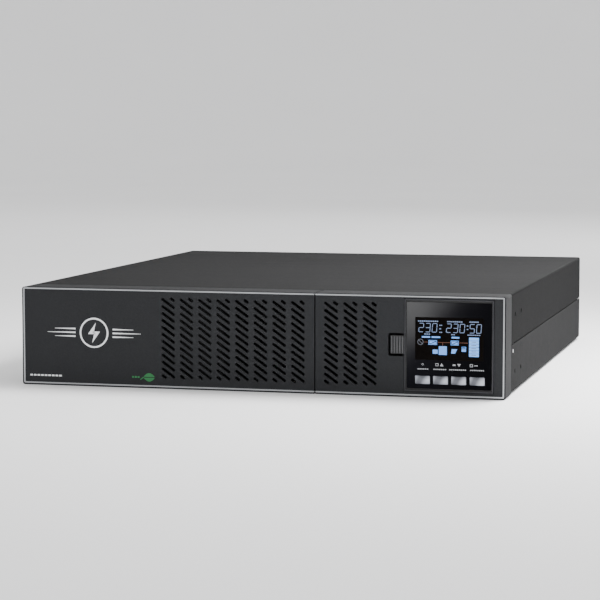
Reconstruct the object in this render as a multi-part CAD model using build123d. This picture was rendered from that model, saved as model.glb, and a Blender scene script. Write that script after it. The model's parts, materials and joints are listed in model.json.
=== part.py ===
"""Rack or tower uninterruptible power supply, two rack units high.

Millimetres. +X is the user's right when facing the front, +Y runs to the back, +Z is up.
The origin is the centre of the footprint, at the bottom. The front face is at -Y.
"""
from build123d import *
import os

os.makedirs("parts", exist_ok=True)

# ---- overall ----
WIDTH = 438.0
HEIGHT = 88.0
DEPTH = 510.0
HALF_W = WIDTH / 2
Y_FRONT = -DEPTH / 2
Y_BACK = DEPTH / 2
Z_MID = HEIGHT / 2

# ---- sheet-metal case ----
SHEET = 1.2
FOOT_H = 1.5
CASE_Y0 = -221.3
CASE_R = 2.0
CASE_Z1 = FOOT_H + SHEET
CASE_Z2 = HEIGHT - SHEET
CASE_IN = HALF_W - SHEET
BASE_WALL_TOP = 43.5
COVER_WALL_BOTTOM = 44.4
LAP_Z = (30.0, 58.0)
LAP_Y = (-196.0, 226.0)
REAR_Y = 244.0
REAR_OUT = REAR_Y + SHEET
LIP_Z0 = 79.5
EAR_Y = (-202.0, -168.0)
EAR_Z = (19.0, 69.0)
EAR_R = 2.0

# ---- fasteners ----
HEAD_T = 1.8
SCREW_HOLE_R = 1.7
THREAD_HOLE_R = 1.6

# ---- plastic front ----
BEZEL_Y1 = -223.0
FACE_Y = -254.6
FACE_T = 3.0
LEDGE_Y = FACE_Y + FACE_T
LEDGE_T = 2.0
WALL_T = 2.4
LEDGE_W = 6.0
TRIM_W = 1.3
TRIM_SIDE = 1.0
TRIM_BOTTOM = 1.2
TRIM_TOP = 0.5
SEAM_L = 51.4
SEAM_R = 52.4
SLOT_RUN = 10.0
SLOT_DROP = 7.0
SLOT_W = 2.5
SLOT_PITCH_Z = 6.18
SLOT_ROWS = 11
SLOT_TOP_Z = 79.3
SLOT_PITCH_X = 16.9
COVER_SLOT_X0 = -86.6
COVER_SLOT_COLS = 8
BEZEL_SLOT_X0 = 61.4
BEZEL_SLOT_PITCH_X = 17.1
BEZEL_SLOT_COLS = 3

# ---- display module ----
LCD_X = (131.2, 208.6)
LCD_Z = (5.2, 84.7)
LCD_Y = (-254.8, -229.3)
LCD_GAP = 0.5
LCD_WALL = 2.0
LCD_LIP = 0.9
LCD_POST = 4.0
LCD_GROOVE_Y = -253.9
CABLE_HOLE_X = (158.0, 182.0)
CABLE_HOLE_Z = (42.2, 45.8)
WINDOW_X = (133.3, 206.8)
WINDOW_Z = (7.7, 82.1)
WINDOW_Y = (-254.4, -252.4)
GLASS_X = (139.0, 201.4)
GLASS_Z = (30.9, 70.9)
BUTTON_X = (147.1, 162.8, 178.55, 194.55)
BUTTON_Z = 15.2
BUTTON_W = 12.6
BUTTON_H = 6.8
KEY_CROWN_R = 36.0
LCD_BOARD_Y = (-247.0, -245.4)
LATCH_X = (118.9, 130.9)
LATCH_Z = (37.0, 53.0)
LATCH_CUT_X = 117.0
LATCH_CUT_Z = (35.0, 55.0)
LATCH_RIBS = 5
LATCH_RIB_PITCH = 2.4
LATCH_RIB_W = 1.3
LATCH_BACK_Y = -240.0
LATCH_GUIDE_X0 = 114.0
GUIDE_T = 2.0
POCKET_BACK_Y = -226.5

# ---- battery pack ----
TRAY_X = (-212.0, -42.0)
TRAY_Z = 8.0
TRAY_BACK = 190.0
TRAY_WALL_H = 52.0
BAY_OPEN_X = (-213.0, -41.0)
BAY_OPEN_Z = (7.5, 80.0)
PLATE_SLOT_X0 = -26.0
PLATE_SLOT_PITCH = 7.0
PLATE_SLOT_COLS = 20
PLATE_SLOT_W = 2.6
FLANGE_Y = -224.5
BATTERY = (151.0, 94.0, 65.0)
BATTERY_PITCH = 101.0
BATTERY_Y0 = -219.0
BATTERY_X0 = -202.5
BATTERY_COUNT = 4
TERMINAL_X = (-190.0, -64.0)
HANDLE_W = 90.0
HANDLE_LEG = 9.0
HANDLE_Z = (38.0, 50.0)
PARTITION_X = -38.0
PLUG_X = sum(TRAY_X) / 2
PLUG_W = 50.0
PLUG_PINS = (PLUG_X - 12.0, PLUG_X + 12.0)
PLUG_Z = 34.0
PIN_R = 3.0

# ---- power electronics ----
BOARD_X = (-24.0, 204.0)
BOARD_Y = (-190.0, 150.0)
BOARD_Z = 9.0
BOARD_T = 1.6
BOARD_TOP = BOARD_Z + BOARD_T
HEATSINK_X = (6.0, 98.0, 158.0)
HEATSINK_Y = (-150.0, 60.0)
SINK_T = 4.0
FINS = 9
FIN_PITCH = 7.0
FIN_W = 20.0
FIN_T = 1.6
CAN_R = 15.0
CAN_H = 50.0
COIL_R = 18.0
COIL_WIRE_R = 7.0
RELAY_H = 25.0
FILM_CAP_H = 24.0
STANDOFF_XY = [(x, y) for x in (-18.0, 90.0, 190.0) for y in (-182.0, -20.0, 142.0)]

# ---- rear ----
FAN = 80.0
FAN_T = 25.0
FAN_X = (88.0, 172.0)
FAN_Z = 44.75
FAN_HOLE = 71.5 / 2
FAN_BORE = 38.2
FAN_HUB_R = 18.5
FAN_SHAFT_R = 2.0
FAN_STRUTS = 3
FAN_BLADES = 7
BLADE_PITCH = 38.0
BLADE_TIP_R = 36.6
GRILLE_RINGS = (12, 18, 24, 30, 36, 42)
GRILLE_HOLE_R = 1.85
INLET_X = 16.0
INLET_Z = 24.5
BANK_X = -107.0
BANK_Z = (24.0, 58.0)
OUTLET_PITCH = 28.5
OUTLETS = 4
OUTLET_SLITS = ((-7.0, -1.5), (7.0, -1.5), (0.0, 2.0))
INLET_BLADES = ((-7.0, -2.0), (7.0, -2.0), (0.0, 2.0))
BREAKER_X = -23.0
BREAKER_Z = 24.5
SOCKET_X = -192.0
SOCKET_Z = 26.0
SOCKET_SCREW_X = (-213.0, -171.0)
INLET_SCREW_X = (INLET_X - 20.0, INLET_X + 20.0)
STUD_X = -191.0
STUD_Z = 58.0
SLOT_PLATE_X = (-34.0, 44.0)
SLOT_PLATE_Z = (61.5, 79.3)
SLOT_FRAME = 4.0
LIP_X = (-212.0, 44.0)
LIP_SCREW_Z = 83.2


def block(x, y, z):
    """Box from three (low, high) pairs."""
    size = [pair[1] - pair[0] for pair in (x, y, z)]
    mid = [(pair[1] + pair[0]) / 2 for pair in (x, y, z)]
    return Pos(*mid) * Box(*size)


def rod_y(x, z, y0, y1, r):
    """Cylinder along Y."""
    return Pos(x, (y0 + y1) / 2, z) * Rot(90, 0, 0) * Cylinder(r, y1 - y0)


def rod_x(y, z, x0, x1, r):
    """Cylinder along X."""
    return Pos((x0 + x1) / 2, y, z) * Rot(0, 90, 0) * Cylinder(r, x1 - x0)


def rod_z(x, y, z0, z1, r):
    """Cylinder along Z."""
    return Pos(x, y, (z0 + z1) / 2) * Cylinder(r, z1 - z0)


def slab(sketch, y0, y1):
    """Extrude a sketch drawn in (X, Z) from y0 to y1."""
    return extrude(Pos(0, y0, 0) * Rot(90, 0, 0) * sketch, amount=y1 - y0, dir=(0, 1, 0))


def join(solids):
    """Fuse a list of solids."""
    first = solids[0]
    return first + solids[1:] if len(solids) > 1 else first


def save(node, shape):
    """Write one node; a list becomes a group of separate solids."""
    if isinstance(shape, (list, tuple)):
        solids = [s for item in shape for s in item.solids()]
        shape = Compound(children=solids)
    shape.label = node
    export_step(shape, f"parts/{node}.step")


def wire(points, r, bend):
    """Round lead through the points, with rounded bends."""
    path = FilletPolyline(*points, radius=bend)
    return sweep(Plane(origin=path @ 0, z_dir=path % 0) * Circle(r), path=path)


def screw_y(x, z, y_head, out, length, r=1.5):
    """Pan-head screw along Y with a cross recess; out is the way its head points, +1 or -1."""
    tip = y_head + out * HEAD_T
    head = rod_y(x, z, *sorted((y_head, tip)), 1.9 * r)
    rim_edge = head.edges().filter_by(GeomType.CIRCLE).sort_by(Axis.Y)[-1 if out > 0 else 0]
    head = fillet(rim_edge, 0.7)
    arm = 1.05 * r
    depth = sorted((tip - out * 0.9, tip + out))
    head -= block((x - arm, x + arm), depth, (z - 0.3, z + 0.3))
    head -= block((x - 0.3, x + 0.3), depth, (z - arm, z + arm))
    return head + rod_y(x, z, *sorted((y_head, y_head - out * length)), r)


# ---------------------------------------------------------------- case
def case_ring(y0, y1):
    """Whole sheet-metal tube before it is split into base and cover."""
    height = HEIGHT - FOOT_H
    z = FOOT_H + height / 2
    outer = Pos(0, z) * RectangleRounded(WIDTH, height, CASE_R)
    inner = Pos(0, z) * RectangleRounded(WIDTH - 2 * SHEET, height - 2 * SHEET, CASE_R - SHEET)
    return slab(outer - inner, y0, y1)


def inner_face():
    """Sheet that just fills the case's inside, corners rounded like the bends."""
    return Pos(0, (CASE_Z1 + CASE_Z2) / 2) * RectangleRounded(2 * CASE_IN, CASE_Z2 - CASE_Z1, 1.0)


def side_flange(side, y):
    """Folded edge lying against one side wall."""
    x = sorted((side * (CASE_IN - SHEET), side * CASE_IN))
    return block(x, y, (CASE_Z1 + 1, CASE_Z2 - 1))


def ear_holes(z):
    """Cutters for one height of the rack-ear holes, on both sides."""
    return [rod_x(y, z, -HALF_W - 1, HALF_W + 1, EAR_R) for y in EAR_Y]


FRONT_SCREW = (-213.3, 37.7)
FLOOR_SCREWS = [(x, y) for x in (-195.0, -50.0, 50.0, 195.0) for y in (237.0,)]
LIP_SCREW_X = (-195.0, -118.0, -41.0, 30.0)


def base_tray():
    """Floor and lower side walls, with lap strips that the cover slides over."""
    keep = block((-HALF_W - 1, HALF_W + 1), (CASE_Y0, Y_BACK), (0, BASE_WALL_TOP))
    body = case_ring(CASE_Y0, Y_BACK) & keep
    for side in (-1, 1):
        strip_x = sorted((side * (CASE_IN - SHEET), side * CASE_IN))
        body += block(strip_x, LAP_Y, LAP_Z)
        body -= rod_x(*FRONT_SCREW, side * HALF_W - 2, side * HALF_W + 2, SCREW_HOLE_R)
    body -= ear_holes(EAR_Z[0])
    body -= [rod_z(x, y, 0, 4, SCREW_HOLE_R) for x, y in FLOOR_SCREWS]
    return body


def top_cover():
    """Top and upper side walls, with a screw lip over the rear panel."""
    keep = block((-HALF_W - 1, HALF_W + 1), (CASE_Y0, Y_BACK), (COVER_WALL_BOTTOM, HEIGHT))
    body = case_ring(CASE_Y0, Y_BACK) & keep
    body += block(LIP_X, (REAR_OUT, REAR_OUT + SHEET), (LIP_Z0, CASE_Z2))
    body -= [rod_y(x, LIP_SCREW_Z, REAR_OUT - 1, REAR_OUT + 3, SCREW_HOLE_R) for x in LIP_SCREW_X]
    body -= ear_holes(EAR_Z[1])
    return body


def outlet_cut(z):
    """Rear-panel opening for one bank of outlets."""
    width = OUTLETS * OUTLET_PITCH + 0.4
    return block((BANK_X - width / 2, BANK_X + width / 2), (REAR_Y - 1, REAR_OUT + 1), (z - 11.2, z + 11.2))


def fan_grille(cx):
    """Rings of small round holes punched over a fan."""
    holes = []
    for ring, count in enumerate(GRILLE_RINGS):
        radius = 10.5 + 5.1 * ring
        spots = PolarLocations(radius, count)
        holes += [Pos(cx, FAN_Z) * spot * Circle(GRILLE_HOLE_R) for spot in spots]
    return holes


def rear_panel():
    """Rear sheet, set in from the case's back edge, with flanges folded forward."""
    face = inner_face()
    for cx in FAN_X:
        face -= fan_grille(cx)
    body = slab(face, REAR_Y, REAR_OUT)
    flange_y = (228.0, REAR_Y)
    body += block((1 - CASE_IN, CASE_IN - 1), flange_y, (CASE_Z1, CASE_Z1 + SHEET))
    for side in (-1, 1):
        body += side_flange(side, flange_y)
    cut_y = (REAR_Y - 1, REAR_OUT + 1)
    cuts = [outlet_cut(z) for z in BANK_Z]
    cuts.append(block((INLET_X - 14, INLET_X + 14), cut_y, (INLET_Z - 10.2, INLET_Z + 10.2)))
    slot_x = (SLOT_PLATE_X[0] + SLOT_FRAME, SLOT_PLATE_X[1] - SLOT_FRAME)
    cuts.append(block(slot_x, cut_y, (SLOT_PLATE_Z[0] + 2, SLOT_PLATE_Z[1] - 1.8)))
    cuts.append(block((SOCKET_X - 16, SOCKET_X + 16), cut_y, (SOCKET_Z - 12, SOCKET_Z + 12)))
    for x0, x1, z0, z1 in PORT_BOXES:
        cuts.append(block((x0 - 0.2, x1 + 0.2), cut_y, (z0 - 0.2, z1 + 0.2)))
    cuts.append(rod_y(BREAKER_X, BREAKER_Z, cut_y[0], cut_y[1], 6.2))
    cuts.append(rod_y(STUD_X, STUD_Z, cut_y[0], cut_y[1], 2.7))
    for cx in FAN_X:
        for dx in (-FAN_HOLE, FAN_HOLE):
            for dz in (-FAN_HOLE, FAN_HOLE):
                cuts.append(rod_y(cx + dx, FAN_Z + dz, cut_y[0], cut_y[1], 2.3))
    cuts += [rod_y(x, LIP_SCREW_Z, cut_y[0], cut_y[1], SCREW_HOLE_R) for x in LIP_SCREW_X]
    cuts += [rod_y(x, INLET_Z, cut_y[0], cut_y[1], SCREW_HOLE_R) for x in INLET_SCREW_X]
    cuts += [rod_y(x, SOCKET_Z, cut_y[0], cut_y[1], SCREW_HOLE_R) for x in SOCKET_SCREW_X]
    cuts += [rod_z(x, y, 0, 5, SCREW_HOLE_R) for x, y in FLOOR_SCREWS]
    return body - cuts


def front_plate():
    """Steel bulkhead behind the plastic front, with the battery opening and air slots."""
    face = inner_face()
    bay = Pos(sum(BAY_OPEN_X) / 2, sum(BAY_OPEN_Z) / 2)
    face -= bay * Rectangle(BAY_OPEN_X[1] - BAY_OPEN_X[0], BAY_OPEN_Z[1] - BAY_OPEN_Z[0])
    slots = []
    for column in range(PLATE_SLOT_COLS):
        x = PLATE_SLOT_X0 + PLATE_SLOT_PITCH * column
        if abs(x - (SEAM_L + SEAM_R) / 2) < PLATE_SLOT_PITCH:
            continue
        slots += [Pos(x, z) * Rot(0, 0, 90) * SlotOverall(27, PLATE_SLOT_W) for z in (28.5, 60.5)]
    face -= slots
    for x in CLIP_X:
        face -= [Pos(x, z) * Rectangle(11.2, 2.6) for z in CLIP_Z]
    face -= [Pos(x, z) * Circle(SCREW_HOLE_R) for x, z in BEZEL_BOSSES]
    face -= [Pos(x, z) * Circle(SCREW_HOLE_R + 0.1) for x, z in THUMB_SCREWS]
    hole = Rectangle(CABLE_HOLE_X[1] - CABLE_HOLE_X[0], CABLE_HOLE_Z[1] - CABLE_HOLE_Z[0])
    face -= Pos(sum(CABLE_HOLE_X) / 2, sum(CABLE_HOLE_Z) / 2) * hole
    body = slab(face, BEZEL_Y1, BEZEL_Y1 + SHEET)
    for side in (-1, 1):
        flange = side_flange(side, (BEZEL_Y1 + SHEET, -207))
        flange -= rod_x(*FRONT_SCREW, side * HALF_W - 4, side * HALF_W + 4, THREAD_HOLE_R)
        body += flange
    return body


def partition_wall():
    """Steel wall between the battery bay and the power electronics."""
    y = (BEZEL_Y1 + SHEET, 228.0)
    body = block((PARTITION_X, PARTITION_X + SHEET), y, (CASE_Z1, 84.0))
    body += block((PARTITION_X + SHEET, PARTITION_X + 8), y, (CASE_Z1, CASE_Z1 + SHEET))
    return body - block((PARTITION_X - 1, PARTITION_X + 2), (190, 222), (21, 65))


def bay_rails():
    """Low plastic rails that the battery tray runs on."""
    y = (-218.0, 186.0)
    return [block((x - 4, x + 4), y, (CASE_Z1, TRAY_Z - 0.3)) for x in (-206.0, -50.0)]


def foot_pads():
    """Four thin round rubber pads."""
    return [rod_z(x, y, 0, FOOT_H, 12) for x in (-190, 190) for y in (-195, 215)]


def ear_nuts():
    """Clinched nuts behind the rack-ear holes."""
    nuts = []
    for side in (-1, 1):
        for y in EAR_Y:
            for z in EAR_Z:
                x = sorted((side * (CASE_IN - 2.6), side * CASE_IN))
                nuts.append(rod_x(y, z, x[0], x[1], 3.6) - rod_x(y, z, x[0] - 1, x[1] + 1, EAR_R))
    return nuts


def case_screws():
    """Screws at the rear lip, both front flanges, the floor and the socket plate."""
    screws = [screw_y(x, LIP_SCREW_Z, REAR_OUT + SHEET, 1, 4.5) for x in LIP_SCREW_X]
    screws += [screw_y(x, SOCKET_Z, REAR_OUT + 2, 1, 5) for x in SOCKET_SCREW_X]
    screws += [screw_y(x, INLET_Z, REAR_OUT + 3, 1, 6) for x in INLET_SCREW_X]
    for side in (-1, 1):
        y, z = FRONT_SCREW
        head = rod_x(y, z, *sorted((side * HALF_W, side * (HALF_W - SHEET))), 1.65)
        shank = rod_x(y, z, *sorted((side * (HALF_W - SHEET), side * (HALF_W - 5))), 1.5)
        screws.append(head + shank)
    for x, y in FLOOR_SCREWS:
        screws.append(rod_z(x, y, 0.7, FOOT_H, 2.8) + rod_z(x, y, FOOT_H, 4.5, 1.5))
    return screws


# ---------------------------------------------------------------- plastic front
CLIP_X = (-190.0, -80.0, 30.0)
CLIP_Z = (4.8, 84.5)
BEZEL_BOSSES = [(62.0, 10.0), (62.0, 78.0), (122.0, 10.0), (122.0, 78.0), (213.0, 14.0), (213.0, 74.0)]
THUMB_SCREWS = [(-204.0, 82.9), (-50.0, 82.9)]


def front_outline(side, bottom, top, radius):
    """Front outline in (X, Z), inset by the given margins."""
    width = WIDTH - 2 * side
    height = HEIGHT - bottom - top
    return Pos(0, bottom + height / 2) * RectangleRounded(width, height, radius)


def front_zone(x0, x1):
    """Everything between two X limits in the plastic front's depth."""
    return block((x0, x1), (Y_FRONT - 1, BEZEL_Y1), (-1, HEIGHT + 1))


def rim(x0, x1):
    """Outer walls of a front part: a thin lip in front, full wall and ledge behind it."""
    outer = front_outline(0, 0, 0, 2.0)
    lip = outer - front_outline(TRIM_SIDE, TRIM_BOTTOM, TRIM_TOP, 1.2)
    wall = outer - front_outline(WALL_T, WALL_T, WALL_T, 0.6)
    ledge = outer - front_outline(LEDGE_W, LEDGE_W, LEDGE_W, 0.6)
    body = slab(lip, Y_FRONT, LEDGE_Y) + slab(ledge, LEDGE_Y, LEDGE_Y + LEDGE_T)
    body += slab(wall, LEDGE_Y, BEZEL_Y1)
    return body & front_zone(x0, x1)


def trim(x0, x1):
    """Silver line laid between the lip and the face."""
    ring = front_outline(TRIM_SIDE, TRIM_BOTTOM, TRIM_TOP, 1.2)
    ring -= face_outline()
    return slab(ring, Y_FRONT + 0.1, LEDGE_Y) & front_zone(x0, x1)


def face_outline():
    """Outline of the flat face inside the silver line."""
    return front_outline(TRIM_SIDE + TRIM_W, TRIM_BOTTOM + TRIM_W, TRIM_TOP + TRIM_W, 0.6)


def slot_columns(first_x, pitch, columns):
    """Slanted air slots; each column ends in a short slot at its top and bottom."""
    angle = -34.99
    full = (SLOT_RUN ** 2 + SLOT_DROP ** 2) ** 0.5
    slots = []
    for column in range(columns):
        x = first_x + column * pitch
        for row in range(SLOT_ROWS):
            z = SLOT_TOP_Z - row * SLOT_PITCH_Z
            place = Pos(x + SLOT_RUN / 2, z - SLOT_DROP / 2) * Rot(0, 0, angle)
            slots.append(place * SlotCenterToCenter(full, SLOT_W))
        for cx, cz in ((x + 8.9, SLOT_TOP_Z), (x + 1.05, SLOT_TOP_Z - 68.6)):
            slots.append(Pos(cx, cz) * Rot(0, 0, angle) * SlotCenterToCenter(2.7, SLOT_W))
    return slots


def cover_rim():
    """Walls of the removable battery cover."""
    body = rim(-HALF_W, SEAM_L)
    seam_wall = block((SEAM_L - WALL_T, SEAM_L), (LEDGE_Y, BEZEL_Y1), (1, HEIGHT - 1))
    return body + seam_wall


def cover_face():
    """Flat face of the battery cover, with its air slots."""
    half = Pos((SEAM_L - HALF_W) / 2, Z_MID) * Rectangle(SEAM_L + HALF_W, HEIGHT)
    face = face_outline() & half
    face -= slot_columns(COVER_SLOT_X0, SLOT_PITCH_X, COVER_SLOT_COLS)
    return slab(face, FACE_Y, LEDGE_Y)


def cover_clips():
    """Snap clips on the back of the battery cover."""
    clips = []
    for x in CLIP_X:
        for z in CLIP_Z:
            root_z = sorted((z, WALL_T if z < Z_MID else HEIGHT - WALL_T))
            arm = block((x - 5, x + 5), (-238, -213), (z - 0.7, z + 0.7))
            root = block((x - 5, x + 5), (-238, -228), root_z)
            clips.append(arm + root)
    return clips


def bezel_rim():
    """Walls of the fixed right-hand front part and the pocket that holds the display."""
    body = rim(SEAM_R, HALF_W)
    body += block((SEAM_R, SEAM_R + WALL_T), (LEDGE_Y, BEZEL_Y1), (1, HEIGHT - 1))
    pocket_x = (LCD_X[0] - LCD_GAP, LCD_X[1] + LCD_GAP)
    pocket_z = (LCD_Z[0] - LCD_GAP, LCD_Z[1] + LCD_GAP)
    pocket_floor = LCD_Y[1] + 0.3
    strips = face_outline() & (Pos((pocket_x[0] + HALF_W) / 2, Z_MID)
                               * Rectangle(HALF_W - pocket_x[0], HEIGHT))
    body += slab(strips, FACE_Y, LEDGE_Y)
    body += block((pocket_x[0] - 2, CASE_IN), (LEDGE_Y, POCKET_BACK_Y), (WALL_T, HEIGHT - WALL_T))
    body -= block(pocket_x, (Y_FRONT - 1, pocket_floor), pocket_z)
    latch_way = (LATCH_Z[0] - 0.5, LATCH_Z[1] + 0.5)
    body -= block((pocket_x[0] - 3, pocket_x[0] + 1), (LEDGE_Y, LATCH_BACK_Y + 0.5), latch_way)
    body -= block(CABLE_HOLE_X, (pocket_floor - 1, BEZEL_Y1), CABLE_HOLE_Z)
    body += latch_guide((LATCH_GUIDE_X0, pocket_x[0] - 1.95))
    for x, z in BEZEL_BOSSES:
        body += bezel_boss(x, z)
    body -= [rod_y(x, z, -236, BEZEL_Y1 + 1, THREAD_HOLE_R) for x, z in BEZEL_BOSSES]
    return body


def latch_guide(x):
    """Channel behind the face that the release tab's shank slides in."""
    low = LATCH_Z[0] + 0.7
    high = LATCH_Z[1] - 0.7
    y = (LATCH_BACK_Y - 6.6, LATCH_BACK_Y + 2.3)
    rails = block(x, y, (low, low + GUIDE_T)) + block(x, y, (high - GUIDE_T, high))
    return rails + block(x, (y[1] - GUIDE_T, y[1]), (low, high))


def bezel_boss(x, z):
    """Screw boss; it is short and slim where the display pocket's block already backs it."""
    if x > LCD_X[1]:
        return rod_y(x, z, POCKET_BACK_Y - 0.5, BEZEL_Y1, 3.2)
    return rod_y(x, z, -240, BEZEL_Y1, 3.6)


def bezel_face():
    """Slotted face between the seam and the display."""
    x1 = LCD_X[0] - LCD_GAP
    part = Pos((SEAM_R + x1) / 2, Z_MID) * Rectangle(x1 - SEAM_R, HEIGHT)
    face = face_outline() & part
    face -= slot_columns(BEZEL_SLOT_X0, BEZEL_SLOT_PITCH_X, BEZEL_SLOT_COLS)
    cut = Pos(LATCH_CUT_X + 10, sum(LATCH_CUT_Z) / 2)
    face -= cut * RectangleRounded(20, LATCH_CUT_Z[1] - LATCH_CUT_Z[0], 2)
    return slab(face, FACE_Y, LEDGE_Y)


def bezel_screws():
    """Screws through the bulkhead into the fixed front part."""
    return [screw_y(x, z, BEZEL_Y1 + SHEET, 1, 9) for x, z in BEZEL_BOSSES]


# ---------------------------------------------------------------- display module
def lcd_housing():
    """Open box of the display module with a front frame around the window."""
    body = block(LCD_X, LCD_Y, LCD_Z)
    body = fillet(body.edges().filter_by(Axis.Y), 1.0)
    inner_x = (LCD_X[0] + LCD_WALL, LCD_X[1] - LCD_WALL)
    inner_z = (LCD_Z[0] + LCD_WALL, LCD_Z[1] - LCD_WALL)
    body -= block(inner_x, (WINDOW_Y[1], LCD_Y[1] - 2), inner_z)
    body -= block((WINDOW_X[0] - 0.05, WINDOW_X[1] + 0.05), (Y_FRONT - 1, WINDOW_Y[1]),
                  (WINDOW_Z[0] - 0.05, WINDOW_Z[1] + 0.05))
    body -= block((LCD_X[0] + LCD_LIP, LCD_X[1] - LCD_LIP), (Y_FRONT - 1, LCD_GROOVE_Y),
                  (LCD_Z[0] + LCD_LIP, LCD_Z[1] - LCD_LIP))
    for x in (inner_x[0], inner_x[1] - LCD_POST):
        for z in (inner_z[0], inner_z[1] - LCD_POST):
            body += block((x, x + LCD_POST), (LCD_BOARD_Y[1], LCD_Y[1] - 1), (z, z + LCD_POST))
    rest_z = (Z_MID - 4, Z_MID + 4)
    body += block((inner_x[0] - 1, inner_x[0] + 1.2), (WINDOW_Y[1], LCD_BOARD_Y[0]), rest_z)
    body += block((inner_x[1] - 1.2, inner_x[1] + 1), (WINDOW_Y[1], LCD_BOARD_Y[0]), rest_z)
    return body


def lcd_window():
    """Glossy front panel with openings for the four keys."""
    width = WINDOW_X[1] - WINDOW_X[0]
    height = WINDOW_Z[1] - WINDOW_Z[0]
    face = Pos(sum(WINDOW_X) / 2, sum(WINDOW_Z) / 2) * RectangleRounded(width, height, 0.8)
    face -= [Pos(x, BUTTON_Z) * RectangleRounded(BUTTON_W + 0.7, BUTTON_H + 0.7, 0.9) for x in BUTTON_X]
    return slab(face, *WINDOW_Y)


def lcd_glass():
    """Liquid-crystal cell with its backlight block behind it."""
    cell = block(GLASS_X, (WINDOW_Y[1], -250.4), GLASS_Z)
    light_x = (GLASS_X[0] + 1, GLASS_X[1] - 1)
    light = block(light_x, (-250.4, LCD_BOARD_Y[0]), (GLASS_Z[0] + 1, GLASS_Z[1] - 1))
    return cell + light


def lcd_board():
    """Circuit board of the display module."""
    return block((133.4, 206.4), LCD_BOARD_Y, (7.4, 82.5))


def lcd_switches():
    """Four key switches on the display board."""
    switches = []
    for x in BUTTON_X:
        base = block((x - 3, x + 3), (-249.2, LCD_BOARD_Y[0]), (BUTTON_Z - 3, BUTTON_Z + 3))
        switches.append(base + rod_y(x, BUTTON_Z, -249.6, -249.2, 1.7))
    return switches


def key_cap(x):
    """One key with the collar that keeps it behind the window."""
    cap = Pos(x, BUTTON_Z) * RectangleRounded(BUTTON_W, BUTTON_H, 0.6)
    collar = Pos(x, BUTTON_Z) * RectangleRounded(BUTTON_W + 1.8, BUTTON_H + 1.8, 0.6)
    body = slab(cap, Y_FRONT, -252) & rod_z(x, Y_FRONT + KEY_CROWN_R, 0, HEIGHT, KEY_CROWN_R)
    body += slab(collar, -252.1, -251.1)
    return body + rod_y(x, BUTTON_Z, -251.2, -250.9, 1.6)


def lcd_latch():
    """Ribbed release tab beside the display."""
    body = block(LATCH_X, (-254.0, -247), LATCH_Z)
    for rib in range(LATCH_RIBS):
        x = LATCH_X[0] + 0.5 + LATCH_RIB_PITCH * rib
        body += block((x, x + LATCH_RIB_W), (-254.7, -253.9), (LATCH_Z[0] + 0.6, LATCH_Z[1] - 0.6))
    body += block((LATCH_X[0] + 1, LATCH_X[1] - 5), (-247, LATCH_BACK_Y), (LATCH_Z[0] + 3, LATCH_Z[1] - 3))
    return body


# ---------------------------------------------------------------- battery pack
def battery_y(index):
    """Front of one battery."""
    return BATTERY_Y0 + index * BATTERY_PITCH


def battery_tray():
    """Folded steel tray with a front flange that closes the bay."""
    y = (BEZEL_Y1 - 0.3, TRAY_BACK)
    wall_z = (TRAY_Z, TRAY_Z + TRAY_WALL_H)
    body = block(TRAY_X, y, (TRAY_Z, TRAY_Z + SHEET))
    body += block((TRAY_X[0], TRAY_X[0] + SHEET), y, wall_z)
    body += block((TRAY_X[1] - SHEET, TRAY_X[1]), y, wall_z)
    body += block(TRAY_X, (TRAY_BACK, TRAY_BACK + SHEET), wall_z)
    body += block((-215.0, -39.5), (FLANGE_Y, BEZEL_Y1 - 0.3), (2.9, 85.0))
    body -= [rod_y(x, z, FLANGE_Y - 1, BEZEL_Y1 + 1, THREAD_HOLE_R) for x, z in THUMB_SCREWS]
    for x in CLIP_X:
        body -= block((x - 8, x + 8), (FLANGE_Y - 1, BEZEL_Y1), (0, CLIP_Z[0] + 1.4))
        body -= block((x - 8, x + 8), (FLANGE_Y - 1, BEZEL_Y1), (CLIP_Z[1] - 1.4, HEIGHT))
    for x in PLUG_PINS:
        body -= rod_y(x, PLUG_Z, TRAY_BACK - 1, TRAY_BACK + 3, 4.5)
    return body


def batteries():
    """Sealed lead-acid blocks lying on their sides."""
    blocks = []
    for index in range(BATTERY_COUNT):
        y0 = battery_y(index)
        case = block((BATTERY_X0, BATTERY_X0 + BATTERY[0]), (y0, y0 + BATTERY[1] - 4),
                     (TRAY_Z + SHEET, TRAY_Z + SHEET + BATTERY[2]))
        lid = block((BATTERY_X0 + 1, BATTERY_X0 + BATTERY[0] - 1), (y0 + BATTERY[1] - 4, y0 + BATTERY[1]),
                    (TRAY_Z + SHEET + 1, TRAY_Z + SHEET + BATTERY[2] - 1))
        blocks.append(case + lid)
    return blocks


def battery_terminals():
    """Flat blade terminals, two on each battery."""
    blades = []
    for index in range(BATTERY_COUNT):
        y0 = battery_y(index) + BATTERY[1]
        blades += [block((x - 3.2, x + 3.2), (y0, y0 + 5), (64.6, 65.4)) for x in TERMINAL_X]
    return blades


def battery_links():
    """Insulated leads joining the batteries in series, and two out to the plug."""
    leads = []
    top = 76.5
    base = 65.4
    for index in range(BATTERY_COUNT - 1):
        x = TERMINAL_X[index % 2]
        y0 = battery_y(index) + BATTERY[1] + 3.5
        y1 = y0 + BATTERY_PITCH
        leads.append(wire([(x, y0, base), (x, y0, top), (x, y1, top), (x, y1, base)], 1.2, 4))
    return leads


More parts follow.
